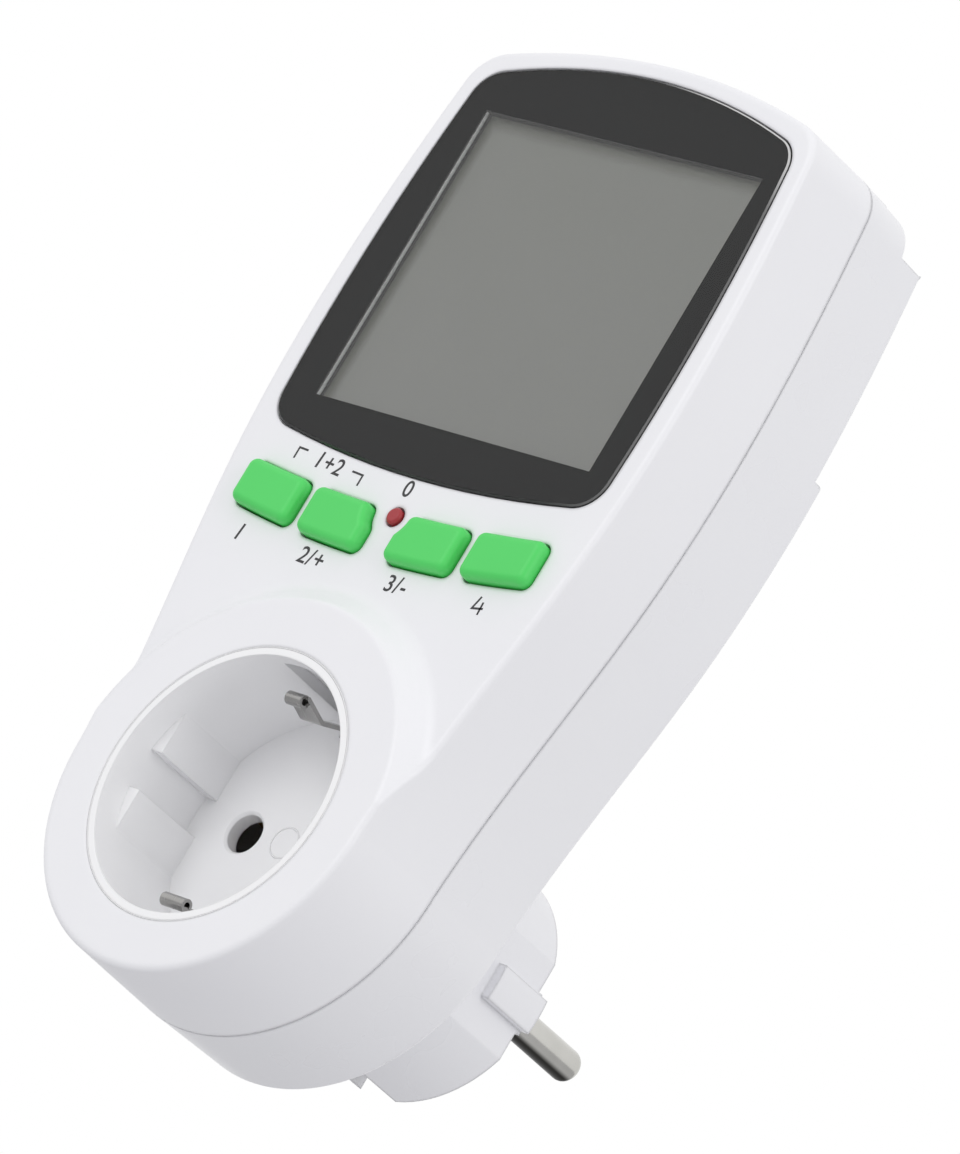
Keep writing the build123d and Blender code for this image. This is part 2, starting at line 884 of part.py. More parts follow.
# The strip from a contact's foot to the power board
def board_feed(side):
    points = [
        (contact_foot_level, feed_start),
        (contact_foot_level, feed_turn),
        (feed_level, feed_turn + feed_start),
        (feed_level, power_board_bottom + feed_overlap),
    ]
    return bent_strip(points, feed_width, side * pin_offset)


for side, line in ((-1, "neutral"), (1, "live")):
    save(plug_pin(side), f"{line}_pin")
    save(forked_contact(side), f"{line}_contact")
    save(board_feed(side), f"{line}_feed")
save(pin_link(-1), "neutral_link")
save(pin_link(1), "current_shunt")

# Window and the printed border behind it
border_level = panel_level - pocket_depth
window_back_level = border_level + border_thickness
view_left = -view_width / 2
view_right = view_width / 2
with BuildPart() as display_window:
    extrude(window_outline(window_back_level), amount=panel_level + window_proud - window_back_level)
    chamfer(display_window.faces().sort_by(Axis.Y)[0].edges(), window_bevel)
save(display_window, "display_window")

with BuildPart() as window_border:
    extrude(window_outline(border_level), amount=border_thickness)
    view = plate_outline(border_level, view_left, view_right, view_bottom, view_top)
    extrude(view, amount=border_thickness, mode=Mode.SUBTRACT)
save(window_border, "window_border")

# Display glass, its reflector, holder and the rubber strip that joins it to the board
glass_top_level = ceiling_level - fit_gap
glass_back_level = glass_top_level - glass_thickness
glass_left = view_left - glass_margin
glass_right = view_right + glass_margin
glass_bottom = view_bottom - glass_foot
glass_top = view_top + glass_margin
with BuildPart() as display_glass:
    extrude(
        plate_outline(glass_back_level, glass_left, glass_right, glass_bottom, glass_top),
        amount=glass_thickness / 2,
    )
    extrude(
        plate_outline(
            glass_back_level + glass_thickness / 2, glass_left, glass_right, view_bottom, glass_top
        ),
        amount=glass_thickness / 2,
    )
save(display_glass, "display_glass")

with BuildPart() as display_reflector:
    extrude(
        plate_outline(
            glass_back_level - reflector_thickness,
            view_left + board_gap,
            view_right - board_gap,
            view_bottom + board_gap,
            view_top - board_gap,
        ),
        amount=reflector_thickness,
    )
save(display_reflector, "display_reflector")

holder_grow = holder_rim + fit_gap
zebra_bottom = glass_bottom + zebra_foot - zebra_width / 2
zebra_top = zebra_bottom + zebra_width
with BuildPart() as display_holder:
    extrude(
        plate_outline(
            display_board_front,
            glass_left - holder_grow,
            glass_right + holder_grow,
            glass_bottom - holder_grow,
            glass_top + holder_grow,
        ),
        amount=glass_top_level - display_board_front,
    )
    extrude(
        plate_outline(
            glass_back_level,
            glass_left - fit_gap,
            glass_right + fit_gap,
            glass_bottom - fit_gap,
            glass_top + fit_gap,
        ),
        amount=glass_thickness + overrun,
        mode=Mode.SUBTRACT,
    )
    extrude(
        plate_outline(
            display_board_front,
            glass_left + holder_ledge,
            glass_right - holder_ledge,
            view_bottom,
            glass_top - holder_ledge,
        ),
        amount=display_board_drop,
        mode=Mode.SUBTRACT,
    )
    extrude(
        plate_outline(
            display_board_front,
            -zebra_half_length - fit_gap,
            zebra_half_length + fit_gap,
            zebra_bottom - fit_gap,
            zebra_top + fit_gap,
        ),
        amount=display_board_drop,
        mode=Mode.SUBTRACT,
    )
save(display_holder, "display_holder")

with BuildPart() as zebra_strip:
    extrude(
        plate_outline(
            display_board_front, -zebra_half_length, zebra_half_length, zebra_bottom, zebra_top
        ),
        amount=glass_back_level - display_board_front,
    )
save(zebra_strip, "zebra_strip")

# Display board, shaped to pass between the bosses
with BuildPart() as display_board:
    with BuildSketch(level(display_board_back)) as board_shape:
        with BuildLine():
            half = Polyline(
                (0, display_board_foot),
                (display_board_foot_half_width, display_board_foot),
                (display_board_half_width, display_board_shoulder),
                (display_board_half_width, display_board_head),
                (display_board_foot_half_width, display_board_head),
                (display_board_foot_half_width, display_board_tab),
                (0, display_board_tab),
            )
            mirror(half, about=Plane.YZ)
        make_face()
        with Locations(display_screw_places):
            Circle(board_screw_radius + screw_gap, mode=Mode.SUBTRACT)
    extrude(amount=board_thickness)
save(display_board, "display_board")

# Power board on its four posts
with BuildPart() as power_board:
    extrude(
        plate_outline(
            power_board_back,
            -power_board_half_width,
            power_board_half_width,
            power_board_bottom,
            power_board_top,
            board_corner,
        ),
        amount=board_thickness,
    )
    with BuildSketch(level(power_board_back)):
        with Locations(power_screw_places):
            Circle(board_screw_radius + screw_gap)
    extrude(amount=board_thickness, mode=Mode.SUBTRACT)
save(power_board, "power_board")

# Caps of the four buttons, each hollow, with two ears behind the panel and a stem on its switch
switch_top_level = display_board_front + switch_total
ear_level = ceiling_level - board_gap - button_ear_thickness
cap_top_level = panel_level + button_rise


def button_cap(name):
    left, right = caps[name]
    middle = switch_places[name]
    with BuildPart() as cap:
        extrude(button_outline(ear_level, left, right), amount=cap_top_level - ear_level)
        fillet(cap.faces().sort_by(Axis.Y)[0].edges(), button_top_round)
        with BuildSketch(level(ear_level)) as ears:
            add(button_band(button_ear))
            with Locations((middle[0], row_bottom)):
                Rectangle(
                    right - left - 2 * button_ear_inset, 2 * row_half_width, mode=Mode.INTERSECT
                )
            with Locations((0, reset_height)):
                Circle(reset_clearing - button_gap, mode=Mode.SUBTRACT)
        extrude(amount=button_ear_thickness)
        with BuildSketch(level(ear_level)):
            with Locations(middle):
                Rectangle(
                    right - left - 2 * button_ear_inset - button_wall,
                    row_top - row_bottom - 2 * button_wall,
                )
        extrude(amount=cap_top_level - button_wall - ear_level, mode=Mode.SUBTRACT)
        with BuildSketch(level(switch_top_level)):
            with Locations(middle):
                Circle(button_stem_radius)
        extrude(amount=cap_top_level - button_wall - switch_top_level)
    return cap


def switch_plunger(middle):
    with BuildPart() as plunger:
        with BuildSketch(level(display_board_front + switch_body - switch_plunger_sunk)):
            with Locations(middle):
                Circle(switch_plunger_radius)
        extrude(amount=switch_total - switch_body + switch_plunger_sunk)
    return plunger


for name in caps:
    save(button_cap(name), name)

with BuildPart() as reset_button:
    with BuildSketch(level(switch_top_level)):
        with Locations((0, reset_height)):
            Circle(reset_radius)
    extrude(amount=panel_level + reset_rise - switch_top_level)
    chamfer(reset_button.edges().sort_by(Axis.Y)[0], reset_rise / 2)
    with BuildSketch(level(ear_level)):
        with Locations((0, reset_height)):
            Circle(reset_radius + reset_ear)
    extrude(amount=button_ear_thickness)
save(reset_button, "reset_button")

for name, middle in switch_places.items():
    save(switch_plunger(middle), name.replace("button", "plunger"))

with BuildPart() as switch_bodies:
    with BuildSketch(level(display_board_front)):
        with Locations(list(switch_places.values())):
            Rectangle(switch_size, switch_size)
    extrude(amount=switch_body)
    with BuildSketch(level(display_board_front + switch_body)):
        with Locations(list(switch_places.values())):
            Circle(switch_plunger_radius + switch_well_gap)
    extrude(amount=-switch_well_depth, mode=Mode.SUBTRACT)
save(switch_bodies, "switch_bodies")

# Parts on the back of the display board
with BuildPart() as controller_chip:
    chip = plate_outline(
        display_board_back,
        -controller_size / 2,
        controller_size / 2,
        view_middle - controller_size / 2,
        view_middle + controller_size / 2,
        chip_corner,
    )
    extrude(chip, amount=-controller_thickness)
save(controller_chip, "controller_chip")

with BuildPart() as clock_crystal:
    with BuildSketch(level(display_board_back)):
        with Locations((crystal_x, crystal_z)):
            SlotOverall(crystal_length, crystal_width)
    extrude(amount=-crystal_height)
save(clock_crystal, "clock_crystal")

# Parts on the front of the power board
battery_left = battery_x - cell_count * cell_length / 2
with BuildPart() as backup_battery:
    for cell in range(cell_count):
        with BuildSketch(Plane.YZ.offset(battery_left + cell * cell_length)):
            with Locations((-power_board_front - cell_radius, battery_z)):
                Circle(cell_radius)
        extrude(amount=cell_length - cell_gap)
    with BuildSketch(Plane.YZ.offset(battery_left)):
        with Locations((-power_board_front - cell_radius, battery_z)):
            Circle(cell_radius - cell_gap)
    extrude(amount=cell_count * cell_length - cell_gap)
save(backup_battery, "backup_battery")

with BuildPart() as film_capacitor:
    with BuildSketch(level(power_board_front)):
        with Locations((film_x, film_z)):
            Rectangle(film_length, film_width)
    extrude(amount=film_height)
save(film_capacitor, "film_capacitor")

with BuildPart() as electrolytic_capacitors:
    with BuildSketch(level(power_board_front)):
        with Locations((electrolytic_x, electrolytic_z)):
            with GridLocations(electrolytic_spacing, electrolytic_spacing, 2, 1):
                Circle(electrolytic_radius)
    extrude(amount=film_height)
save(electrolytic_capacitors, "electrolytic_capacitors")

with BuildPart() as surge_varistor:
    with BuildSketch(Plane.YZ.offset(varistor_x)):
        with Locations((-power_board_front - varistor_radius, varistor_z)):
            Circle(varistor_radius)
    extrude(amount=varistor_thickness / 2, both=True)
save(surge_varistor, "surge_varistor")

with BuildPart() as metering_chip:
    chip = plate_outline(
        power_board_front,
        metering_x - metering_length / 2,
        metering_x + metering_length / 2,
        metering_z - metering_width / 2,
        metering_z + metering_width / 2,
    )
    extrude(chip, amount=metering_height)
    chamfer(metering_chip.faces().sort_by(Axis.Y)[0].edges(), chip_bevel)
save(metering_chip, "metering_chip")

with BuildPart() as board_link:
    with BuildSketch(level(power_board_front)):
        with Locations((link_x, link_z)):
            Rectangle(link_pins * link_step, link_step)
    extrude(amount=link_step)
    with BuildSketch(level(power_board_front + link_step)):
        with Locations((link_x, link_z)):
            with GridLocations(link_step, link_step, link_pins, 1):
                Rectangle(link_pin_size, link_pin_size)
    extrude(amount=display_board_back - power_board_front - link_step)
save(board_link, "board_link")


# Screws whose heads seat at one height; way is 1 for shanks that point forwards, -1 backwards
def screw_group(places, seat, shank_radius, shank_length, cap_radius, cap_height, way=1):
    with BuildPart() as group:
        with BuildSketch(level(seat)):
            with Locations(places):
                Circle(shank_radius)
        extrude(amount=way * shank_length)
        with BuildSketch(level(seat)):
            with Locations(places):
                Circle(cap_radius)
        extrude(amount=-way * cap_height)
        with BuildSketch(level(seat - way * cap_height)):
            with Locations(places):
                RegularPolygon(shank_radius, drive_sides)
        extrude(amount=way * cap_height / 2, mode=Mode.SUBTRACT)
    return group


case_screws = screw_group(
    case_screw_places,
    case_seat_level,
    case_screw_radius,
    case_screw_length,
    case_head_radius,
    case_head_height,
)
save(case_screws, "case_screws")
board_screw_size = (board_screw_radius, board_screw_length, board_head_radius, board_head_height)
display_board_screws = screw_group(display_screw_places, display_board_back, *board_screw_size)
save(display_board_screws, "display_board_screws")
power_board_screws = screw_group(power_screw_places, power_board_front, *board_screw_size, -1)
save(power_board_screws, "power_board_screws")
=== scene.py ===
import math

import bmesh
import bpy
import numpy as np
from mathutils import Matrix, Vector


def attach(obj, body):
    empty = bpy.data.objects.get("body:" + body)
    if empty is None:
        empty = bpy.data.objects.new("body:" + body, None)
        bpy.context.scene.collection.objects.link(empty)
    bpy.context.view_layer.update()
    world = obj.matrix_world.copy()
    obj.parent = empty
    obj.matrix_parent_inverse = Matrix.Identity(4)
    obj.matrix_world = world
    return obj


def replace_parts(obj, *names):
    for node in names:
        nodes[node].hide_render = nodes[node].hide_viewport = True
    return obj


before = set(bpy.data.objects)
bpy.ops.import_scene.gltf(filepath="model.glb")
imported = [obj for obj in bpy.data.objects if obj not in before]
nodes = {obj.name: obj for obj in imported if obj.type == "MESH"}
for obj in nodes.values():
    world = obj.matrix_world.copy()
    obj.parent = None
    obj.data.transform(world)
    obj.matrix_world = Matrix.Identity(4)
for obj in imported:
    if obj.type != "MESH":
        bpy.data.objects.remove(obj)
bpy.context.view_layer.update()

mm = 0.001
print("stage: frame loaded,", len(nodes), "nodes")


def toLinear(colour, alpha=1.0):
    # sRGB hex to the linear colour that shaders take
    parts = [int(colour[i:i + 2], 16) / 255 for i in (1, 3, 5)]
    return [c / 12.92 if c <= 0.04045 else ((c + 0.055) / 1.055) ** 2.4 for c in parts] + [alpha]


def perMm(size):
    # texture scale for a pattern whose repeat is that many millimetres
    return 1.0 / (size * mm)


def addNode(tree, kind, sockets=None, **settings):
    # one shader node with its settings; a socket takes a value, or a link from another node
    node = tree.nodes.new(kind)
    for name, value in settings.items():
        setattr(node, name, value)
    for name, value in (sockets or {}).items():
        if isinstance(value, bpy.types.NodeSocket):
            tree.links.new(value, node.inputs[name])
        else:
            node.inputs[name].default_value = value
    return node


def newMaterial(name):
    material = bpy.data.materials.new(name)
    material.use_nodes = True
    tree = material.node_tree
    tree.nodes.clear()
    place = addNode(tree, "ShaderNodeTexCoord").outputs["Object"]
    return material, tree, place


def closeMaterial(tree, shader):
    addNode(tree, "ShaderNodeOutputMaterial", {"Surface": shader.outputs["BSDF"]})


# The values between which a noise mostly lies
noiseSpan = {"From Min": 0.3, "From Max": 0.7}

# Plastics: patterns in mm; drift is the share by which the gloss wanders with the flow
plastic = {"flow": 18.0, "flowDetail": 3.0, "grainDetail": 2.0, "grainStrength": 0.35,
           "drift": 0.08, "edgeSamples": 8}


def mouldedPlastic(name, colour, deeper, roughness, grain, grainDepth, edge=0.0, ior=1.53):
    # Injection-moulded plastic: the tool's grain in the bump, and a slow flow pattern that
    # shifts colour and gloss by a few percent, as thick and thin walls cool unevenly.
    # The grain is drawn coarser than a tool's real grain, so that it shows.
    material, tree, place = newMaterial(name)
    slow = addNode(tree, "ShaderNodeTexNoise", {
        "Vector": place, "Scale": perMm(plastic["flow"]), "Detail": plastic["flowDetail"]})
    fine = addNode(tree, "ShaderNodeTexNoise", {
        "Vector": place, "Scale": perMm(grain), "Detail": plastic["grainDetail"]})
    gloss = addNode(tree, "ShaderNodeMapRange", {
        **noiseSpan, "Value": slow.outputs["Fac"], "To Min": roughness * (1 - plastic["drift"]),
        "To Max": roughness * (1 + plastic["drift"])})
    tint = addNode(tree, "ShaderNodeMix", {
        "Factor": slow.outputs["Fac"], 6: toLinear(deeper), 7: toLinear(colour)}, data_type="RGBA")
    bump = addNode(tree, "ShaderNodeBump", {
        "Height": fine.outputs["Fac"], "Strength": plastic["grainStrength"], "Distance": grainDepth * mm})
    if edge > 0:
        # a moulded edge is never sharp: shading turns over this radius
        soft = addNode(tree, "ShaderNodeBevel", {"Radius": edge * mm}, samples=plastic["edgeSamples"])
        tree.links.new(soft.outputs["Normal"], bump.inputs["Normal"])
    shader = addNode(tree, "ShaderNodeBsdfPrincipled", {
        "Base Color": tint.outputs[2], "Roughness": gloss.outputs["Result"], "IOR": ior,
        "Normal": bump.outputs["Normal"]})
    closeMaterial(tree, shader)
    return material


# ABS from a polished tool: bright, with a soft gloss
frontAbs = mouldedPlastic("absPolishedFront", "#f4f4f7", "#f0f0f4",
                          roughness=0.38, grain=0.9, grainDepth=0.006, edge=0.9)
rearAbs = mouldedPlastic("absPolishedRear", "#f1f1f4", "#ededf1",
                         roughness=0.28, grain=0.9, grainDepth=0.006, edge=0.8)
insertAbs = mouldedPlastic("absSocketWhite", "#fafafb", "#f6f6f8",
                           roughness=0.25, grain=0.9, grainDepth=0.006, edge=0.3)
# ABS from a spark-eroded tool: satin, even grain
capAbs = mouldedPlastic("absSatinGreen", "#52dc68", "#4bd462",
                        roughness=0.46, grain=0.35, grainDepth=0.012, edge=0.35)
resetAbs = mouldedPlastic("absSatinRed", "#aa2c34", "#a0262e",
                          roughness=0.42, grain=0.35, grainDepth=0.015, edge=0.3)
holderAbs = mouldedPlastic("absMouldedHolder", "#d4d4d2", "#cbcbc9",
                           roughness=0.50, grain=0.6, grainDepth=0.015)
# Nylon, moulded for use and not for looks: dull, with a wide faint highlight
plateNylon = mouldedPlastic("nylonMouldedWhite", "#e2e2e0", "#dadad8",
                            roughness=0.50, grain=0.6, grainDepth=0.015)
switchNylon = mouldedPlastic("nylonMouldedBlack", "#1c1c1e", "#161618",
                             roughness=0.48, grain=0.4, grainDepth=0.012)
headerNylon = mouldedPlastic("nylonHeaderBlack", "#1a1a1a", "#131313",
                             roughness=0.50, grain=0.5, grainDepth=0.012)
# Epoxy moulded round a chip: black and nearly matt
chipEpoxy = mouldedPlastic("epoxyMouldedBlack", "#17171a", "#121214",
                           roughness=0.60, grain=0.25, grainDepth=0.015)
# Epoxy that a disc was dipped in: glossy, with a soft swell
dippedEpoxy = mouldedPlastic("epoxyDippedBlue", "#2c4f86", "#254678",
                             roughness=0.28, grain=1.2, grainDepth=0.030)
# PVC sleeve shrunk on: glossy, with slow ripples
sleevePvc = mouldedPlastic("pvcShrunkSleeve", "#274a78", "#1f3f69",
                           roughness=0.30, grain=2.2, grainDepth=0.030)
canSleeve = mouldedPlastic("pvcCanSleeve", "#20242e", "#191c25",
                           roughness=0.32, grain=1.6, grainDepth=0.020)
# Polyester box of a film capacitor: opaque yellow, half gloss
boxFilm = mouldedPlastic("polyesterBoxYellow", "#c8a431", "#bc982a",
                         roughness=0.35, grain=0.8, grainDepth=0.010)
# Silicone in fine layers: greyish and soft, almost without highlight
layeredSilicone = mouldedPlastic("siliconeLayered", "#6d6468", "#5f565a",
                                 roughness=0.55, grain=0.2, grainDepth=0.020)
# Ink bonded to the acrylic: hardly any gloss of its own
borderInk = mouldedPlastic("screenInkBlack", "#121213", "#0f0f10",
                           roughness=0.50, grain=0.3, grainDepth=0.0008, ior=1.08)
# Pad-printed ink: dark grey and matt on the bright panel
markInk = mouldedPlastic("padInkCharcoal", "#2c2c2e", "#242427",
                         roughness=0.50, grain=0.2, grainDepth=0.008)


# Metals: tarnish in mm; glossLow and glossHigh are the shares of the roughness that it spans
metal = {"marksDetail": 4.0, "marksStrength": 0.4, "tarnish": 5.0, "tarnishDetail": 2.0,
         "glossLow": 0.8, "glossHigh": 1.3}


def platedMetal(name, colour, darker, roughness, marks, depth, stretch, underShade=None):
    # Plated or rolled metal: fine marks of the making, drawn out along one axis; underShade is a painted
    # shade along the underside, dark below one height and gone above another.
    # The marks are drawn coarser than real ones, so that they show.
    material, tree, place = newMaterial(name)
    drawn = addNode(tree, "ShaderNodeMapping", {"Vector": place, "Scale": stretch})
    fine = addNode(tree, "ShaderNodeTexNoise", {
        "Vector": drawn.outputs["Vector"], "Scale": perMm(marks), "Detail": metal["marksDetail"]})
    slow = addNode(tree, "ShaderNodeTexNoise", {
        "Vector": place, "Scale": perMm(metal["tarnish"]), "Detail": metal["tarnishDetail"]})
    gloss = addNode(tree, "ShaderNodeMapRange", {
        **noiseSpan, "Value": fine.outputs["Fac"], "To Min": roughness * metal["glossLow"],
        "To Max": roughness * metal["glossHigh"]})
    bump = addNode(tree, "ShaderNodeBump", {
        "Height": fine.outputs["Fac"], "Strength": metal["marksStrength"], "Distance": depth * mm})
    tint = addNode(tree, "ShaderNodeMix", {
        "Factor": slow.outputs["Fac"], 6: toLinear(darker), 7: toLinear(colour)}, data_type="RGBA")
    # painted shade: the metal darkens below a given height, as if the underside lay in shade
    if underShade:
        low, high, underShadeColour = underShade
        height = addNode(tree, "ShaderNodeSeparateXYZ", {"Vector": place}).outputs["Z"]
        aboveShade = addNode(tree, "ShaderNodeMapRange", {
            "Value": height, "From Min": low * mm, "From Max": high * mm},
            interpolation_type="SMOOTHSTEP")
        tint = addNode(tree, "ShaderNodeMix", {
            "Factor": aboveShade.outputs["Result"], 6: toLinear(underShadeColour), 7: tint.outputs[2]},
            data_type="RGBA")
    shader = addNode(tree, "ShaderNodeBsdfPrincipled", {
        "Base Color": tint.outputs[2], "Metallic": 1.0, "Roughness": gloss.outputs["Result"],
        "Normal": bump.outputs["Normal"]})
    closeMaterial(tree, shader)
    return material


# How closely the marks lie along X, Y and Z: a share under 1 draws them out along that axis
alongPin = (1.0, 0.12, 1.0)
alongStrip = (2.0, 0.3, 0.3)
evenly = (1.0, 1.0, 1.0)
acrossCan = (1.0, 2.0, 1.0)

# Turned brass under nickel: bright, with marks along it and a painted shade along its underside
pinNickel = platedMetal("brassNickelTurned", "#d2d1cd", "#bcbbb6",
                        roughness=0.20, marks=0.7, depth=0.006, stretch=alongPin,
                        underShade=(-2.0, -1.3, "#2b2a27"))
# Spring steel strip under nickel: greyer than the pins, clear reflections
clipSteel = platedMetal("springSteelNickel", "#b4b3b1", "#8f8e8c",
                        roughness=0.22, marks=0.6, depth=0.006, stretch=alongStrip)
# Rolled brass strip: yellow, with the fine lines of rolling
stripBrass = platedMetal("brassRolledStrip", "#c9a45a", "#b8924a",
                         roughness=0.32, marks=0.5, depth=0.008, stretch=alongStrip)
# Rolled copper-manganese alloy: browner than the brass beside it
shuntAlloy = platedMetal("copperManganeseRolled", "#a9785a", "#99694d",
                         roughness=0.35, marks=0.5, depth=0.008, stretch=alongStrip)
# Zinc on steel: pale, a little bluish, finely pitted
screwZinc = platedMetal("steelZincScrew", "#b9babd", "#a2a3a6",
                        roughness=0.36, marks=0.3, depth=0.012, stretch=evenly)
# Drawn steel can: smooth, with soft drawing lines
crystalCan = platedMetal("steelDrawnCan", "#b4b4b6", "#a5a5a8",
                         roughness=0.28, marks=0.6, depth=0.008, stretch=acrossCan)
# Matt foil: spreads the light evenly behind the display
reflectorFilm = platedMetal("foilMattReflector", "#b7b8b2", "#a9aaa4",
                            roughness=0.55, marks=0.3, depth=0.006, stretch=evenly)


# Window: waves in mm; the IOR is matched to the object, and a little under acrylic's usual 1.49
acrylic = {"clear": "#fbfcfb", "roughness": 0.03, "ior": 1.41,
           "wave": 14.0, "waveDetail": 1.0, "waveStrength": 0.05, "waveHeight": 0.05}


def clearAcrylic():
    # Cast acrylic, polished: clear, with the faint waviness of a moulded sheet
    material, tree, place = newMaterial("acrylicClearPolished")
    wave = addNode(tree, "ShaderNodeTexNoise", {
        "Vector": place, "Scale": perMm(acrylic["wave"]), "Detail": acrylic["waveDetail"]})
    bump = addNode(tree, "ShaderNodeBump", {
        "Height": wave.outputs["Fac"], "Strength": acrylic["waveStrength"],
        "Distance": acrylic["waveHeight"] * mm})
    shader = addNode(tree, "ShaderNodeBsdfPrincipled", {
        "Base Color": toLinear(acrylic["clear"]), "Roughness": acrylic["roughness"],
        "IOR": acrylic["ior"], "Transmission Weight": 1.0, "Normal": bump.outputs["Normal"]})
    closeMaterial(tree, shader)
    return material


# Display, in mm: the view's edges, and the painted shadow band of the border with its distances from left
# and top.
# The mottle is drawn coarser than the polariser's, so that it shows.
display = {"left": -27.0, "right": 27.0, "low": 57.65, "high": 104.15,
           "band": 2.0, "bandIn": 0.6, "bandDown": 0.9,
           "grey": "#84857f", "paler": "#8a8a87", "shade": "#66675f",
           "drift": 22.0, "driftFloor": 0.1, "mottle": 0.25, "mottleStrength": 0.1,
           "mottleHeight": 0.0004, "detail": 1.0, "roughness": 0.32, "ior": 1.5}


def displayCell():
    # Liquid crystal cell, switched off: grey polariser over a matt reflector, paler at the bottom, with a
    # painted shadow of the black border as a soft darker band along its left and top edges
    material, tree, place = newMaterial("glassCellPolariser")
    split = addNode(tree, "ShaderNodeSeparateXYZ", {"Vector": place})
    rise = addNode(tree, "ShaderNodeMapRange", {
        "Value": split.outputs["Z"], "From Min": display["low"] * mm, "From Max": display["high"] * mm})
    drift = addNode(tree, "ShaderNodeTexNoise", {
        "Vector": place, "Scale": perMm(display["drift"]), "Detail": display["detail"]})
    blend = addNode(tree, "ShaderNodeMath", {
        0: drift.outputs["Fac"], 1: rise.outputs["Result"], 2: display["driftFloor"]},
        operation="MULTIPLY_ADD")
    grey = addNode(tree, "ShaderNodeMix", {
        "Factor": blend.outputs[0], 6: toLinear(display["paler"]), 7: toLinear(display["grey"])},
        data_type="RGBA")
    # painted shadow of the border: the cell darkens along its left edge and its top
    leftEdge = (display["left"] + display["bandIn"]) * mm
    left = addNode(tree, "ShaderNodeMapRange", {
        "Value": split.outputs["X"], "From Min": leftEdge, "From Max": leftEdge + display["band"] * mm,
        "To Min": 1.0, "To Max": 0.0}, interpolation_type="SMOOTHSTEP")
    top = addNode(tree, "ShaderNodeMapRange", {
        "Value": split.outputs["Z"],
        "From Min": (display["high"] - display["band"] - display["bandDown"]) * mm,
        "From Max": (display["high"] - display["bandIn"]) * mm}, interpolation_type="SMOOTHSTEP")
    edge = addNode(tree, "ShaderNodeMath", {0: left.outputs["Result"], 1: top.outputs["Result"]},
                   operation="MAXIMUM")
    shaded = addNode(tree, "ShaderNodeMix", {
        "Factor": edge.outputs[0], 6: grey.outputs[2], 7: toLinear(display["shade"])},
        data_type="RGBA")
    mottle = addNode(tree, "ShaderNodeTexNoise", {
        "Vector": place, "Scale": perMm(display["mottle"]), "Detail": display["detail"]})
    bump = addNode(tree, "ShaderNodeBump", {
        "Height": mottle.outputs["Fac"], "Strength": display["mottleStrength"],
        "Distance": display["mottleHeight"] * mm})
    shader = addNode(tree, "ShaderNodeBsdfPrincipled", {
        "Base Color": shaded.outputs[2], "Roughness": display["roughness"], "IOR": display["ior"],
        "Normal": bump.outputs["Normal"]})
    closeMaterial(tree, shader)
    return material


# Circuit boards: the weave of the glass cloth and the spacing of the tracks in mm
board = {"weave": 1.0, "thread": "#1d5a33", "gap": "#1a532f",
         "track": 6.0, "trackFrom": 0.04, "trackTo": 0.08, "copper": "#2a6f42",
         "strength": 0.3, "height": 0.03, "roughness": 0.35, "ior": 1.55}


def circuitBoard():
    # Glass-epoxy board under green solder resist: a faint square weave, and paler lines where
    # copper lies under the resist; both are drawn coarser than real ones, so that they show
    material, tree, place = newMaterial("glassEpoxyResist")
    weave = addNode(tree, "ShaderNodeTexChecker", {
        "Vector": place, "Scale": perMm(board["weave"]), "Color1": toLinear(board["thread"]),
        "Color2": toLinear(board["gap"])})
    copper = addNode(tree, "ShaderNodeTexVoronoi", {"Vector": place, "Scale": perMm(board["track"])},
                     feature="DISTANCE_TO_EDGE")
    track = addNode(tree, "ShaderNodeMapRange", {
        "Value": copper.outputs["Distance"], "From Min": board["trackFrom"],
        "From Max": board["trackTo"]}).outputs["Result"]
    colour = addNode(tree, "ShaderNodeMix", {
        "Factor": track, 6: toLinear(board["copper"]), 7: weave.outputs["Color"]}, data_type="RGBA")
    bump = addNode(tree, "ShaderNodeBump", {
        "Height": track, "Strength": board["strength"], "Distance": board["height"] * mm})
    shader = addNode(tree, "ShaderNodeBsdfPrincipled", {
        "Base Color": colour.outputs[2], "Roughness": board["roughness"], "IOR": board["ior"],
        "Normal": bump.outputs["Normal"]})
    closeMaterial(tree, shader)
    return material


windowAcrylic = clearAcrylic()
cellGlass = displayCell()
boardResist = circuitBoard()

finishes = [
    (frontAbs, ["front_cover"]),
    (rearAbs, ["rear_cover"]),
    (insertAbs, ["socket_insert"]),
    (plateNylon, ["pin_plate"]),
    (capAbs, ["button_left_outer", "button_left_inner", "button_right_inner", "button_right_outer"]),
    (resetAbs, ["reset_button"]),
    (switchNylon, ["switch_bodies", "plunger_left_outer", "plunger_left_inner",
                   "plunger_right_inner", "plunger_right_outer", "reset_plunger"]),
    (windowAcrylic, ["display_window"]),
    (borderInk, ["window_border"]),
    (cellGlass, ["display_glass"]),
    (reflectorFilm, ["display_reflector"]),
    (holderAbs, ["display_holder"]),
    (layeredSilicone, ["zebra_strip"]),
    (boardResist, ["display_board", "power_board"]),
    (pinNickel, ["neutral_pin", "live_pin"]),
    (clipSteel, ["socket_earth_clip", "plug_earth_clip"]),
    (stripBrass, ["neutral_contact", "live_contact", "neutral_feed", "live_feed", "neutral_link",
                  "earth_rivet"]),
    (shuntAlloy, ["current_shunt"]),
    (chipEpoxy, ["controller_chip", "metering_chip"]),
    (crystalCan, ["clock_crystal"]),
    (sleevePvc, ["backup_battery"]),
    (boxFilm, ["film_capacitor"]),
    (canSleeve, ["electrolytic_capacitors"]),
    (dippedEpoxy, ["surge_varistor"]),
    (headerNylon, ["board_link"]),
    (screwZinc, ["case_screws", "display_board_screws", "power_board_screws"]),
]
finished = set()
for material, names in finishes:
    for name in names:
        slots = nodes[name].material_slots
        if not slots:
            nodes[name].data.materials.append(material)
        for slot in slots:
            slot.link = "OBJECT"
            slot.material = material
        finished.add(name)
print("stage: finishes on", len(finished), "nodes, left:", sorted(set(nodes) - finished))


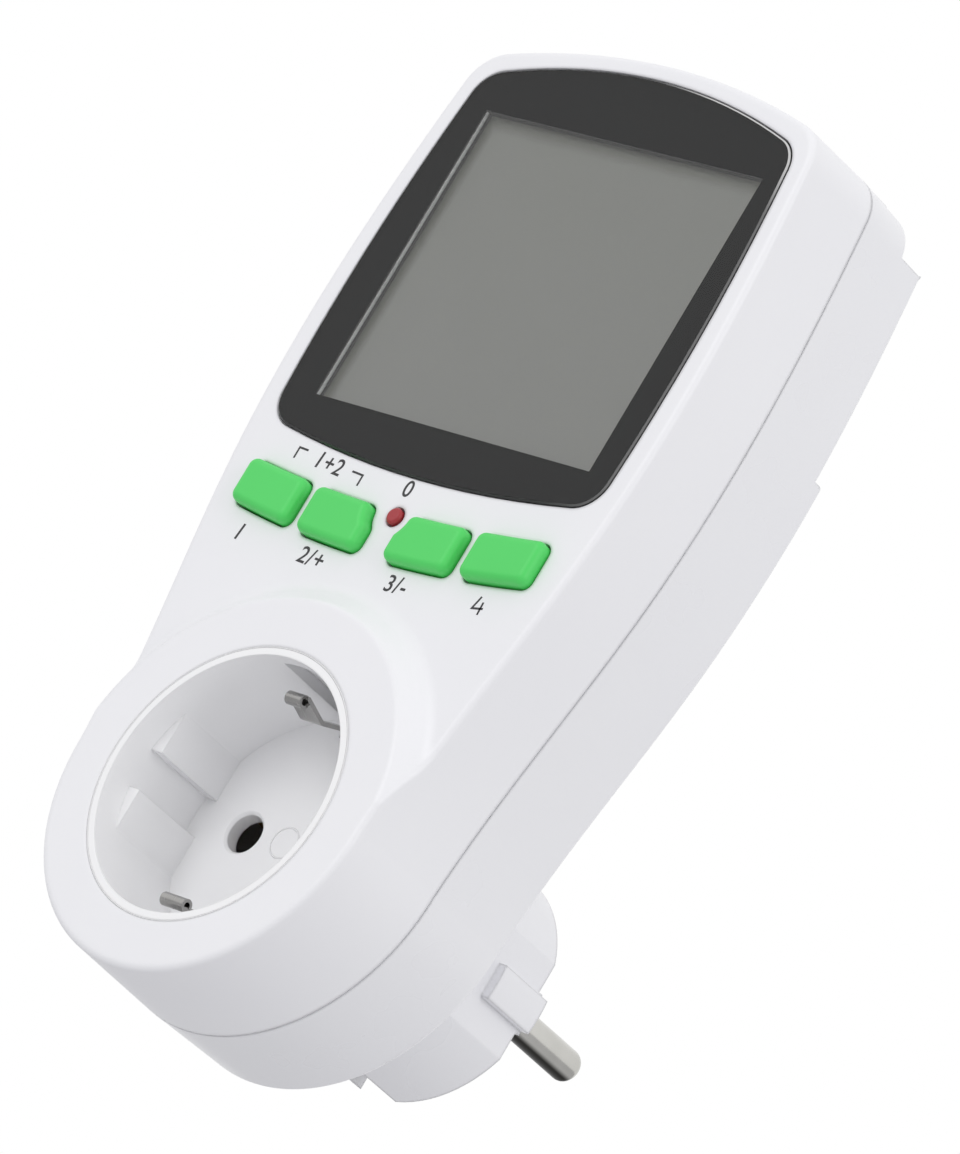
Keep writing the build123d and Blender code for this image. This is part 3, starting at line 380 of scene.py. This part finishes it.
def placeOnHousing(name, mesh):
    # every added piece is part of the housing
    piece = bpy.data.objects.new(name, mesh)
    bpy.context.scene.collection.objects.link(piece)
    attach(piece, "housing")
    return piece


def meshPiece(name, points, faces, material, smooth=False):
    # a piece from its points in mm and its faces, wound so that they point outwards
    mesh = bpy.data.meshes.new(name)
    mesh.from_pydata((points * mm).tolist(), [], faces.tolist())
    mesh.update()
    if smooth:
        mesh.polygons.foreach_set("use_smooth", np.ones(len(mesh.polygons), bool))
    mesh.materials.append(material)
    return placeOnHousing(name, mesh)


def verticesOf(mesh):
    place = np.empty(len(mesh.vertices) * 3)
    mesh.vertices.foreach_get("co", place)
    return place.reshape(-1, 3)


# Printed marks: plain numbers and signs stand where the front is printed, in mm; heightShare is
# the part of the letter size that a figure fills
marks = {
    "panel": -52.5, "proud": 0.03, "sink": 0.02,
    "height": 2.55, "heightShare": 0.72, "spacing": 1.08,
    "reach": 29.7, "rise": 2.3,
    "words": [("1", -25.0, 35.3), ("2/+", -10.0, 34.7), ("3/-", 7.0, 34.5),
              ("1+2", -16.6, 48.2), ("0", -0.6, 47.9)],
    "lines": [
        [(-23.4, 47.7), (-23.4, 49.4), (-21.6, 49.3)],
        [(-11.9, 48.2), (-9.7, 48.05), (-9.7, 46.4)],
        # the open figure 4, in two strokes
        [(22.3, 36.5), (21.7, 34.6), (23.6, 34.9)],
        [(23.1, 35.8), (23.2, 33.9)],
    ],
    "line": 0.3, "stroke": 0.024, "narrow": 0.98,
}


def printedWord(name, word, x, z):
    # letters as a thin slab, turned to follow the bow of the row: the slope of a parabola
    # that rises by marks["rise"] over marks["reach"]
    curve = bpy.data.curves.new(name, "FONT")
    curve.body = word
    curve.size = marks["height"] * mm / marks["heightShare"]
    curve.align_x = "CENTER"
    curve.align_y = "CENTER"
    curve.space_character = marks["spacing"]
    curve.offset = marks["stroke"] * mm
    curve.extrude = (marks["proud"] + marks["sink"]) / 2 * mm
    holder = bpy.data.objects.new(name + "_text", curve)
    bpy.context.scene.collection.objects.link(holder)
    bpy.context.view_layer.update()
    flat = bpy.data.meshes.new_from_object(holder.evaluated_get(bpy.context.evaluated_depsgraph_get()))
    bpy.data.objects.remove(holder)
    place = verticesOf(flat)
    turn = 2 * marks["rise"] * x / marks["reach"] ** 2
    across = place[:, 0] * marks["narrow"]
    middle = marks["panel"] + (marks["sink"] - marks["proud"]) / 2
    put = np.column_stack([
        x * mm + across * math.cos(turn) - place[:, 1] * math.sin(turn),
        middle * mm - place[:, 2],
        z * mm + across * math.sin(turn) + place[:, 1] * math.cos(turn)])
    flat.vertices.foreach_set("co", put.ravel())
    flat.materials.clear()
    flat.materials.append(markInk)
    flat.update()
    placeOnHousing(name, flat)


def printedLine(name, path):
    # a flat line of even width along a mitred path, as a thin closed slab: at each point the
    # mitre is the sum of the two sides' normals, divided by one plus their product
    points = np.array(path, float)
    step = np.diff(points, axis=0)
    step /= np.linalg.norm(step, axis=1)[:, None]
    side = np.stack([-step[:, 1], step[:, 0]], axis=1)
    before = np.vstack([side[:1], side])
    after = np.vstack([side, side[-1:]])
    mitre = (before + after) / (1 + np.sum(before * after, axis=1))[:, None] * marks["line"] / 2
    outline = np.vstack([points + mitre, (points - mitre)[::-1]])
    n = len(outline)
    levels = [marks["panel"] + marks["sink"], marks["panel"] - marks["proud"]]
    slab = np.vstack([np.insert(outline, 1, level, axis=1) for level in levels])
    i = np.arange(len(points) - 1)
    k = np.arange(n)
    faces = np.vstack([
        np.column_stack([n + i, 2 * n - 1 - i, 2 * n - 2 - i, n + i + 1]),
        np.column_stack([i + 1, n - 2 - i, n - 1 - i, i]),
        np.column_stack([k, n + k, n + (k + 1) % n, (k + 1) % n])])
    meshPiece(name, slab, faces, markInk)


for number, (word, x, z) in enumerate(marks["words"]):
    printedWord(f"mark_{number}", word, x, z)
for number, path in enumerate(marks["lines"]):
    printedLine(f"line_{number}", path)
print("stage: printed marks")


# Raised ring on the recess floor, and the bead that closes the joint round the insert's rim, in mm
rings = {
    "recess_ring": {"radius": 2.3, "width": 0.3, "rise": 0.12, "floor": -38.0, "sink": 0.02,
                    "around": 96, "across": 9, "place": (-1.6, 0.4)},
    "insert_joint": {"radius": 20.675, "width": 0.44, "rise": 0.04, "floor": -55.49, "sink": 0.02,
                     "around": 240, "across": 5, "place": (0.0, 0.0)},
}


def raisedRing(name, ring):
    # half-round bead: radius + width/2 * cos(t) across, rise * sin(t) up, t from 0 to half a turn
    a, c = ring["around"], ring["across"]
    u = np.linspace(0, 2 * np.pi, a, endpoint=False)[:, None]
    t = np.linspace(0, np.pi, c)[None, :]
    r = ring["radius"] + ring["width"] / 2 * np.cos(t)
    x = ring["place"][0] + r * np.cos(u)
    z = ring["place"][1] + r * np.sin(u)
    y = np.broadcast_to(ring["floor"] + ring["sink"] - ring["rise"] * np.sin(t), x.shape)
    points = np.stack([x, y, z], axis=-1).reshape(-1, 3)
    i, j = np.meshgrid(np.arange(a), np.arange(c), indexing="ij")
    onward, over = (i + 1) % a, (j + 1) % c
    faces = np.stack([i * c + j, onward * c + j, onward * c + over, i * c + over], axis=-1)
    meshPiece(name, points, faces.reshape(-1, 4), insertAbs, smooth=True)


for name, ring in rings.items():
    raisedRing(name, ring)
print("stage: rings")


# Rolled tips of the socket's earth clip: radii, place and half widths in mm, angles in degrees
roll = {"outer": 0.95, "inner": 0.5, "level": -50.75, "height": 15.85,
        "start": 80.0, "turn": 290.0, "steps": 36,
        "tips": [("clip_roll_upper", 1, 1.5), ("clip_roll_lower", -1, 2.2)]}


def rolledTip(name, side, reach):
    # strip rolled over its own end: circles of the outer and the inner radius, swept along X
    half = roll["steps"]
    n = 2 * half
    a = np.radians(roll["start"] + np.linspace(0, roll["turn"], half))
    rim = np.repeat([roll["outer"], roll["inner"]], half)
    a = np.concatenate([a, a[::-1]])
    y = roll["level"] + rim * np.cos(a)
    z = side * (roll["height"] + rim * np.sin(a))
    points = np.vstack([np.column_stack([np.full(n, end * reach), y, z]) for end in (-1, 1)])
    i = np.arange(n)
    k = np.arange(half - 1)
    faces = np.vstack([
        np.column_stack([i, (i + 1) % n, n + (i + 1) % n, n + i]),
        np.column_stack([k, n - 1 - k, n - 2 - k, k + 1]),
        np.column_stack([n + k + 1, 2 * n - 2 - k, 2 * n - 1 - k, n + k])])
    if side < 0:
        faces = faces[:, ::-1]
    meshPiece(name, points, faces, clipSteel)


for name, side, reach in roll["tips"]:
    rolledTip(name, side, reach)
print("stage: clip tips")


# The window's polished chamfer: the ring laid on it in mm, and where a painted highlight runs along it. At
# the height middle the painted gleam grows from litFrom to litTo right of the centre, and each millimetre
# higher it starts climb millimetres further left. From paleFrom to paleTo in height it turns paler.
bevel = {"inside": 0.02, "outside": 0.25, "drop": 0.35, "proud": 0.02, "around": 720, "near": 0.01,
         "pale": "#c8c8c8", "faint": "#6a6a6a", "dull": "#2a2a2a", "litFrom": 10.0, "litTo": 24.0,
         "climb": 0.35, "middle": 82.0, "paleFrom": 98.0, "paleTo": 108.0,
         "roughness": 0.2, "ior": 1.49}


def paintedEdgeGleam():
    # Saw-cut and flame-polished acrylic edge, with a painted highlight that stands in for the light it
    # catches: pale on the right side and palest at the top, dull black elsewhere
    material, tree, place = newMaterial("acrylicEdgePaintedGleam")
    split = addNode(tree, "ShaderNodeSeparateXYZ", {"Vector": place})
    # painted highlight: the colour turns pale towards the right and the top of the window
    climb = addNode(tree, "ShaderNodeMath", {
        0: split.outputs["Z"], 1: bevel["climb"], 2: split.outputs["X"]}, operation="MULTIPLY_ADD")
    offset = bevel["middle"] * bevel["climb"]
    lit = addNode(tree, "ShaderNodeMapRange", {
        "Value": climb.outputs[0], "From Min": (bevel["litFrom"] + offset) * mm,
        "From Max": (bevel["litTo"] + offset) * mm}, interpolation_type="SMOOTHSTEP")
    high = addNode(tree, "ShaderNodeMapRange", {
        "Value": split.outputs["Z"], "From Min": bevel["paleFrom"] * mm,
        "From Max": bevel["paleTo"] * mm}, interpolation_type="SMOOTHSTEP")
    gleam = addNode(tree, "ShaderNodeMix", {
        "Factor": high.outputs["Result"], 6: toLinear(bevel["faint"]), 7: toLinear(bevel["pale"])},
        data_type="RGBA")
    tint = addNode(tree, "ShaderNodeMix", {
        "Factor": lit.outputs["Result"], 6: toLinear(bevel["dull"]), 7: gleam.outputs[2]},
        data_type="RGBA")
    shader = addNode(tree, "ShaderNodeBsdfPrincipled", {
        "Base Color": tint.outputs[2], "Roughness": bevel["roughness"], "IOR": bevel["ior"]})
    closeMaterial(tree, shader)
    return material


def outlineAt(points, directions, centre):
    # distance from the centre to a convex outline along each direction: where the ray meets
    # each side, by the cross products of ray, side and corner; the side it hits gives the reach
    slack = 1e-6
    here = points - centre
    here = here[np.argsort(np.arctan2(here[:, 1], here[:, 0]))]
    step = np.roll(here, -1, axis=0) - here
    dx, dz = directions[:, :1], directions[:, 1:]
    turn = dx * step[:, 1] - dz * step[:, 0]
    with np.errstate(divide="ignore", invalid="ignore"):
        r = (here[:, 0] * step[:, 1] - here[:, 1] * step[:, 0]) / turn
        t = (here[:, 0] * dz - here[:, 1] * dx) / turn
    hit = np.isfinite(r) & (r > 0) & (t >= -slack) & (t <= 1 + slack)
    return np.where(hit, r, 0).max(axis=1)


def windowChamfer():
    # thin ring laid on the chamfer: along each direction its reach goes from the window's front
    # outline to the outer one by the share of the drop, and four loops close it
    place = verticesOf(nodes["display_window"].data) / mm
    face = place[:, 1].min()
    frontOutline = place[place[:, 1] < face + bevel["near"]][:, [0, 2]]
    sideOutline = place[place[:, 1] > face + bevel["drop"] - bevel["near"]][:, [0, 2]]
    centre = np.array([0.0, (frontOutline[:, 1].min() + frontOutline[:, 1].max()) / 2])
    n = bevel["around"]
    u = np.linspace(0, 2 * np.pi, n, endpoint=False)
    directions = np.column_stack([np.cos(u), np.sin(u)])
    front = outlineAt(frontOutline, directions, centre)
    side = outlineAt(sideOutline, directions, centre)
    loops = []
    for share in (bevel["inside"], bevel["outside"]):
        for lift in (bevel["proud"], 0.0):
            reach = front + (side - front) * share / bevel["drop"] + lift
            loops.append(np.insert(centre + directions * reach[:, None], 1, face + share - lift, axis=1))
    i = np.arange(n)
    j = (i + 1) % n
    order = [0, 2, 3, 1]
    turns = [(order[k] * n, order[(k + 1) % len(order)] * n) for k in range(len(order))]
    faces = np.vstack([np.column_stack([a + i, b + i, b + j, a + j]) for a, b in turns])
    meshPiece("window_chamfer", np.vstack(loops), faces, paintedEdgeGleam())


def wall(name, low, high, material):
    # thin closed slab between two corners
    points = [(x, y, z) for x in (low[0], high[0]) for y in (low[1], high[1]) for z in (low[2], high[2])]
    faces = [(0, 1, 3, 2), (4, 6, 7, 5), (0, 4, 5, 1), (2, 3, 7, 6), (0, 2, 6, 4), (1, 5, 7, 3)]
    meshPiece(name, np.array(points), np.array(faces), material)


# How far the border's print reaches into the window, in mm, as it is bonded to the acrylic
bonded = {"inside": 0.02, "near": 0.01, "merge": 0.001}


def printedBorder():
    # a merged copy of the border, with its front moved a hair into the window
    mesh = nodes["window_border"].data.copy()
    shape = bmesh.new()
    shape.from_mesh(mesh)
    bmesh.ops.remove_doubles(shape, verts=shape.verts, dist=bonded["merge"] * mm)
    shape.to_mesh(mesh)
    shape.free()
    place = verticesOf(mesh)
    front = place[:, 1] < place[:, 1].min() + bonded["near"] * mm
    place[front, 1] -= bonded["inside"] * mm
    mesh.vertices.foreach_set("co", place.ravel())
    mesh.materials.clear()
    mesh.materials.append(borderInk)
    mesh.update()
    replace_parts(placeOnHousing("border_print", mesh), "window_border")


# The walls of the well under the border, along the view's top and left edges, in mm: the black ones are
# painted shade, standing where the well's walls lie in shade
well = {"front": -50.98, "shelf": -50.45, "back": -49.9, "thick": 0.06}

printedBorder()
windowChamfer()
left, right, low, high = (display[key] for key in ("left", "right", "low", "high"))
inner, under = left + well["thick"], high - well["thick"]
# painted shade: black walls along the top and the lower left stand in for the well's walls in shade
wall("well_top_painted_shade", (left, well["front"], under), (right, well["back"], high), borderInk)
wall("well_edge", (left, well["front"], low), (inner, well["shelf"], under), insertAbs)
wall("well_side_painted_shade", (left, well["shelf"], low), (inner, well["back"], under), borderInk)
print("stage: window edge and well")

# The wall that closes each clip's window from outside the insert, in mm
pocket = {"reach": 3.4, "front": -52.0, "back": -37.0, "near": 20.78, "far": 21.1}
for name, side in (("clip_pocket_upper", 1), ("clip_pocket_lower", -1)):
    near, far = sorted((side * pocket["near"], side * pocket["far"]))
    wall(name, (-pocket["reach"], pocket["front"], near), (pocket["reach"], pocket["back"], far),
         insertAbs)
print("stage: clip pockets")


# Studio, in metres and watts, and the floor's faint cloud in mm
studio = {
    "floorHeight": -0.85, "floorReach": 6.0, "floorColour": "#dcdcde", "floorDull": "#d8d8da",
    "floorSeen": "#fbfbfb", "floorCloud": 40.0, "floorDetail": 2.0, "floorRoughness": 0.9,
    "ambient": 0.80, "seen": 1.0,
    "lamps": [
        # name, place, aimed at, size, watts
        ("key", (-0.25, -1.65, 0.6), (0, -0.03, 0.05), 0.9, 5.4),
        ("side", (1.5, -0.4, 0.6), (0, -0.03, 0.05), 0.8, 4.2),
    ],
}


def aimed(place, target):
    # turn that points a lamp's own -Z from its place at the target
    return (Vector(target) - Vector(place)).to_track_quat("-Z", "Y").to_euler()


def floorMaterial():
    # Paper sweep: near white to the eye, while its bounce on the object stays that of a pale grey
    material, tree, place = newMaterial("paperSweepPale")
    cloud = addNode(tree, "ShaderNodeTexNoise", {
        "Vector": place, "Scale": perMm(studio["floorCloud"]), "Detail": studio["floorDetail"]})
    tint = addNode(tree, "ShaderNodeMix", {
        "Factor": cloud.outputs["Fac"], 6: toLinear(studio["floorDull"]),
        7: toLinear(studio["floorColour"])}, data_type="RGBA")
    rays = addNode(tree, "ShaderNodeLightPath")
    paper = addNode(tree, "ShaderNodeMix", {
        "Factor": rays.outputs["Is Camera Ray"], 6: tint.outputs[2], 7: toLinear(studio["floorSeen"])},
        data_type="RGBA")
    shader = addNode(tree, "ShaderNodeBsdfPrincipled", {
        "Base Color": paper.outputs[2], "Roughness": studio["floorRoughness"]})
    closeMaterial(tree, shader)
    return material


reach = studio["floorReach"]
corners = [(-reach, -reach), (reach, -reach), (reach, reach), (-reach, reach)]
floorMesh = bpy.data.meshes.new("floor")
floorMesh.from_pydata([(x, y, studio["floorHeight"]) for x, y in corners], [], [(0, 1, 2, 3)])
floorMesh.materials.append(floorMaterial())
floor = bpy.data.objects.new("floor", floorMesh)
bpy.context.scene.collection.objects.link(floor)

for name, place, target, size, watts in studio["lamps"]:
    lamp = bpy.data.lights.new(name, "AREA")
    lamp.shape = "SQUARE"
    lamp.size = size
    lamp.energy = watts
    holder = bpy.data.objects.new(name, lamp)
    holder.location = place
    holder.rotation_euler = aimed(place, target)
    bpy.context.scene.collection.objects.link(holder)

# The world is white to the eye and in reflections, and lights the object at the ambient level
world = bpy.data.worlds.new("studioWorld")
bpy.context.scene.world = world
world.use_nodes = True
tree = world.node_tree
tree.nodes.clear()
rays = addNode(tree, "ShaderNodeLightPath")
seen = addNode(tree, "ShaderNodeMath", {0: rays.outputs["Is Camera Ray"], 1: rays.outputs["Is Glossy Ray"]},
               operation="MAXIMUM")
seenThrough = addNode(tree, "ShaderNodeMath", {0: seen.outputs[0], 1: rays.outputs["Is Transmission Ray"]},
                      operation="MAXIMUM")
strength = addNode(tree, "ShaderNodeMapRange", {
    "Value": seenThrough.outputs[0], "To Min": studio["ambient"], "To Max": studio["seen"]})
sky = addNode(tree, "ShaderNodeBackground", {"Color": (1, 1, 1, 1), "Strength": strength.outputs["Result"]})
addNode(tree, "ShaderNodeOutputWorld", {"Surface": sky.outputs["Background"]})

# The camera that took the photograph, worked out from the socket's standard sizes:
# place in metres, turn in degrees, lens and sensor in mm
view = {"place": (0.86905, -0.85051, -0.24292), "turn": (105.7321, -29.8313, 38.7975),
        "lens": 285.63, "sensor": 36.0, "near": 0.05, "far": 30.0}
camera = bpy.data.cameras.new("camera")
camera.lens = view["lens"]
camera.sensor_width = view["sensor"]
camera.clip_start = view["near"]
camera.clip_end = view["far"]
cameraHolder = bpy.data.objects.new("camera", camera)
cameraHolder.location = view["place"]
cameraHolder.rotation_euler = [math.radians(angle) for angle in view["turn"]]
bpy.context.scene.collection.objects.link(cameraHolder)
bpy.context.scene.camera = cameraHolder
bpy.context.scene.view_settings.view_transform = "Standard"
print("stage: studio and camera")
